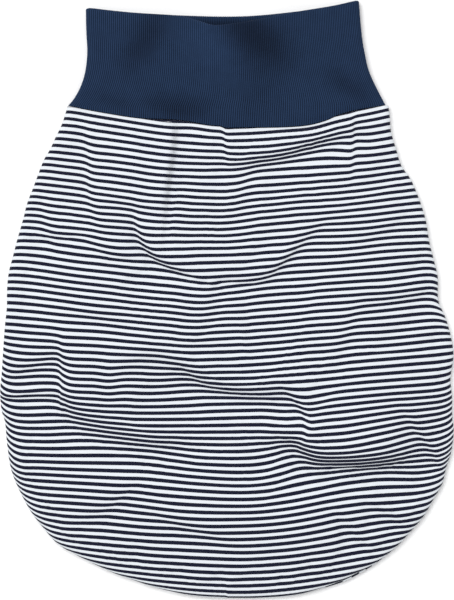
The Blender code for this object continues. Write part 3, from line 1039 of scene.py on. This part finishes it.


# %% [markdown]
# ## Knitted cotton jersey
#
# Jersey is knitted in rows of small V stitches, and a stripe is some rows knitted in another yarn,
# so its edge follows the stitches. The real stitches are about half a millimetre high. The rows
# are counted from the cloth coordinate: eleven rows make one stripe and one gap, and about half of
# them are navy. Where the cloth is gathered, and more towards the foot, the navy rows are widened:
# painted shade, read from a point attribute.

# %% Striped jersey
STRIPE_PITCH = 5.4 * MM
ROWS_PER_PITCH = 11
NAVY_ROWS = 5.7
FOLD_SHADE_ROWS = 3.0  # painted shade: more navy rows where the cloth is gathered to half its length
FIRST_STRIPE = 0.75  # where the first navy stripe's middle is, in pitches from the waist seam
WALE = 0.72 * MM


def jersey(name, light, dark=None):
    """Jersey in the light colour, with stripes in the dark one if that is given."""
    made, shader = new_material(name)
    uv = add(made, "ShaderNodeUVMap", uv_map="cloth").outputs[0]
    parts = add(made, "ShaderNodeSeparateXYZ", {0: uv})
    across, down = parts.outputs[0], parts.outputs[1]
    wale = maths(made, "FRACT", maths(made, "DIVIDE", across, WALE))
    slant = maths(made, "ABSOLUTE", maths(made, "SUBTRACT", wale, 0.5))
    rows = maths(made, "DIVIDE", down, STRIPE_PITCH / ROWS_PER_PITCH)
    rows = maths(made, "ADD", rows, maths(made, "MULTIPLY", slant, 1.1))
    in_row = maths(made, "FRACT", rows)
    leg = maths(made, "PINGPONG", maths(made, "MULTIPLY", in_row, 2.0), 1.0)
    wale_round = maths(made, "PINGPONG", maths(made, "MULTIPLY", wale, 4.0), 1.0)
    height = maths(made, "MULTIPLY_ADD", leg, 0.6, maths(made, "MULTIPLY", wale_round, 0.4))
    fuzz = add(made, "ShaderNodeTexNoise", {"Vector": uv, "Scale": 2600.0, "Detail": 3.0})
    soft = add(made, "ShaderNodeTexNoise", {"Vector": uv, "Scale": 45.0, "Detail": 2.0})
    colour = add(
        made, "ShaderNodeMix", {"A": linear(light), "B": linear(dark or light)}, data_type="RGBA"
    )
    if dark:
        # Painted shade: the navy rows widen where the cloth is gathered, and towards the foot.
        gather_shade = add(made, "ShaderNodeAttribute", attribute_name="gather_shade").outputs["Fac"]
        wider = maths(made, "MULTIPLY", gather_shade, FOLD_SHADE_ROWS / 2)
        wider = add(made, "ShaderNodeClamp", {"Value": wider, "Min": -0.3, "Max": 1.9}).outputs[0]
        middle = (FIRST_STRIPE + 0.5) * ROWS_PER_PITCH + 0.3
        counted = maths(made, "FLOORED_MODULO", maths(made, "SUBTRACT", rows, middle), ROWS_PER_PITCH)
        off_middle = maths(made, "ABSOLUTE", maths(made, "SUBTRACT", counted, ROWS_PER_PITCH / 2))
        edge = maths(made, "ADD", wider, NAVY_ROWS / 2)
        navy = maths(made, "LESS_THAN", off_middle, edge)
        made.node_tree.links.new(navy, colour.inputs["Factor"])
    else:
        colour.inputs["Factor"].default_value = 0.0
    shade = maths(made, "MULTIPLY_ADD", height, 0.14, 0.91)
    shade = swayed(made, soft.outputs[0], 0.05, swayed(made, fuzz.outputs[0], 0.16, shade))
    shaded = add(
        made, "ShaderNodeVectorMath", {0: colour.outputs["Result"], 1: shade}, operation="MULTIPLY"
    )
    fuzzy = maths(made, "MULTIPLY_ADD", fuzz.outputs[0], 0.3, height)
    surface(made, shader, shaded.outputs[0], fuzzy, 0.35, 0.12 * MM, 0.92)
    shader.inputs["Sheen Weight"].default_value = 0.06
    shader.inputs["Sheen Roughness"].default_value = 0.5
    shader.inputs["Specular IOR Level"].default_value = 0.2
    return made


striped_jersey = jersey("cotton_jersey_navy_stripes", "#DEE3E9", "#101329")
plain_jersey = jersey("cotton_jersey_white", "#E2E4E7")

# %% [markdown]
# ## Navy rib knit
#
# Rib knit alternates raised and sunken columns of stitches. The tops catch the light and carry a
# little pale fluff, the grooves stay dark: both are painted, a lighter colour on top and a painted
# shade colour in the grooves. The geometry has the ribs, and the material adds the stitches along
# them and a mottled yarn. Where the band is dented, and on the inner ply inside the mouth, the
# colour is drawn towards the groove colour: painted shade.


# %% Rib knit
def rib_knit(name, top, groove):
    """Rib knit whose ribs get a painted light colour on top and a painted shade colour in the grooves.
    """
    made, shader = new_material(name)
    uv = add(made, "ShaderNodeUVMap", uv_map="cloth").outputs[0]
    parts = add(made, "ShaderNodeSeparateXYZ", {0: uv})
    wale = maths(made, "FRACT", maths(made, "DIVIDE", parts.outputs[0], RIB_SPACING))
    # Painted shade in the grooves, painted light on the tops.
    groove_shade = maths(made, "PINGPONG", maths(made, "MULTIPLY", wale, 2.0), 1.0)
    slant = maths(made, "MULTIPLY", maths(made, "ABSOLUTE", maths(made, "SUBTRACT", wale, 0.5)), 1.4)
    rows = maths(made, "ADD", maths(made, "DIVIDE", parts.outputs[1], 0.8 * MM), slant)
    stitch = maths(made, "PINGPONG", maths(made, "MULTIPLY", rows, 2.0), 1.0)
    fuzz = add(made, "ShaderNodeTexNoise", {"Vector": uv, "Scale": 1500.0, "Detail": 3.0})
    mottle = add(made, "ShaderNodeTexNoise", {"Vector": uv, "Scale": 120.0, "Detail": 3.0})
    factor = swayed(made, stitch, -0.25, swayed(made, fuzz.outputs[0], 0.7, groove_shade))
    # Painted shade: the dents and the inner ply are drawn towards the groove colour.
    painted_shade = add(made, "ShaderNodeAttribute", attribute_name="painted_shade").outputs["Fac"]
    factor = maths(made, "MULTIPLY_ADD", painted_shade, 0.55, factor)
    clamped = add(made, "ShaderNodeClamp", {"Value": factor}).outputs[0]
    colour = add(
        made, "ShaderNodeMix", {"Factor": clamped, "A": linear(top), "B": linear(groove)},
        data_type="RGBA",
    )  # fmt: skip
    shade = swayed(made, mottle.outputs[0], 0.3, 1.0)
    shaded = add(
        made, "ShaderNodeVectorMath", {0: colour.outputs["Result"], 1: shade}, operation="MULTIPLY"
    )
    surface(made, shader, shaded.outputs[0], stitch, 0.5, 0.2 * MM, 0.9)
    shader.inputs["Specular IOR Level"].default_value = 0.1
    return made


# The top colour is painted light on the ribs, and the groove colour is painted shade between them.
navy_rib = rib_knit("cotton_rib_navy", "#293E5E", "#0E1727")

# %% [markdown]
# ## Thread and label
#
# The seam allowances inside the bag are overlocked with white polyester thread. The care label is
# satin, whose long threads lie side by side along the ribbon and shine. Real ones are a tenth of a
# millimetre apart, so the noise that draws them is stretched along the ribbon.


# %% Thread and satin
def overlock(name):
    """Overlock thread: slanting loops across a narrow edge."""
    made, shader = new_material(name)
    place = add(made, "ShaderNodeTexCoord").outputs["Object"]
    loops = add(
        made, "ShaderNodeTexWave",
        {"Vector": place, "Scale": 140.0, "Distortion": 2.0, "Detail": 2.0, "Detail Scale": 2.0},
        bands_direction="DIAGONAL",
    )  # fmt: skip
    colour = add(
        made, "ShaderNodeMix",
        {"Factor": loops.outputs[1], "A": linear("#C9CCD2"), "B": linear("#F2F3F5")},
        data_type="RGBA",
    )  # fmt: skip
    surface(made, shader, colour.outputs["Result"], loops.outputs[1], 0.6, 0.2 * MM, 0.6)
    return made


def satin_ribbon(name):
    """White satin with its threads along the ribbon."""
    made, shader = new_material(name)
    place = add(made, "ShaderNodeTexCoord").outputs["Object"]
    along = add(made, "ShaderNodeMapping", {"Vector": place, "Scale": (0.04, 1, 1)}).outputs[0]
    threads = add(made, "ShaderNodeTexNoise", {"Vector": along, "Scale": 5000.0, "Detail": 2.0})
    colour = add(
        made, "ShaderNodeMix",
        {"Factor": threads.outputs[0], "A": linear("#DEDEDB"), "B": linear("#F7F7F5")},
        data_type="RGBA",
    )  # fmt: skip
    surface(made, shader, colour.outputs["Result"], threads.outputs[0], 0.4, 0.05 * MM, 0.32)
    return made


white_thread = overlock("polyester_overlock_thread_white")
satin = satin_ribbon("polyester_satin_white")

# %% [markdown]
# ## Put the finishes on
#
# Shell and lining share the jersey recipe, and all the seams share the thread.

# %% Finishes
for piece in (shell_front, shell_back):
    finish_with(piece, striped_jersey)
for piece in (lining_front, lining_back):
    finish_with(piece, plain_jersey)
finish_with(waistband, navy_rib)
for seam in seams.values():
    finish_with(seam, white_thread)
finish_with(label, satin)

# %% [markdown]
# ## Join the cloth to the moving frame
#
# Each piece rides with the bag's body, and the CAD solid that it stands for is hidden. The
# waistband is one tube whose front is lifted at the mouth; its place is baked into its points, and
# both CAD halves of it are hidden.

# %% Ride with the bag
for piece, node, finish in (
    (shell_front, "shell_front", "striped_jersey"),
    (shell_back, "shell_back", "striped_jersey"),
    (lining_front, "lining_front", "plain_jersey"),
    (lining_back, "lining_back", "plain_jersey"),
    (label, "care_label", "satin_label"),
):
    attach(piece, "bag")
    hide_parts(node)
for node, seam in seams.items():
    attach(seam, "bag")
    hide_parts(node)
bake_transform(waistband)
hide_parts("waistband_front", "waistband_back")

# %% [markdown]
# ## Table, light and camera
#
# The bag lies on a plain pale table under soft light from everywhere, with one large lamp above
# that gives the folds a little shape. A long lens straight above keeps the outline true.

# %% Studio
bpy.ops.object.select_all(action="DESELECT")
bpy.ops.mesh.primitive_plane_add(size=6, location=(0, 0, -0.6 * MM))
table = bpy.context.object
table.name = "table_top"
table_finish, shader = new_material("matt_white_laminate")
shader.inputs["Base Color"].default_value = linear("#FFFFFF")
shader.inputs["Roughness"].default_value = 0.8
finish_with(table, table_finish)

world = bpy.data.worlds.new("soft_daylight")
bpy.context.scene.world = world
world.use_nodes = True
world.node_tree.nodes["Background"].inputs["Color"].default_value = (1, 1, 1, 1)
world.node_tree.nodes["Background"].inputs["Strength"].default_value = 0.70

lamp_data = bpy.data.lights.new("softbox", "SUN")
lamp_data.energy = 1.8
lamp_data.angle = math.radians(40)
lamp = bpy.data.objects.new("softbox", lamp_data)
lamp.rotation_mode = "QUATERNION"
lamp.rotation_quaternion = Vector((0.3, -0.34, -1)).to_track_quat("-Z", "Y")
bpy.context.scene.collection.objects.link(lamp)

bpy.context.scene.view_settings.view_transform = "Standard"
IN_VIEW = 0.48  # metres of table from the top of the picture to the bottom
SENSOR = 36
LENS = 300
camera_data = bpy.data.cameras.new("overhead")
camera_data.sensor_width = SENSOR
camera_data.lens = LENS
camera = bpy.data.objects.new("overhead", camera_data)
camera.location = (0, 0, IN_VIEW * LENS / SENSOR + EDGE_HEIGHT)
camera_data.clip_start, camera_data.clip_end = 0.1, 20
bpy.context.scene.collection.objects.link(camera)
bpy.context.scene.camera = camera
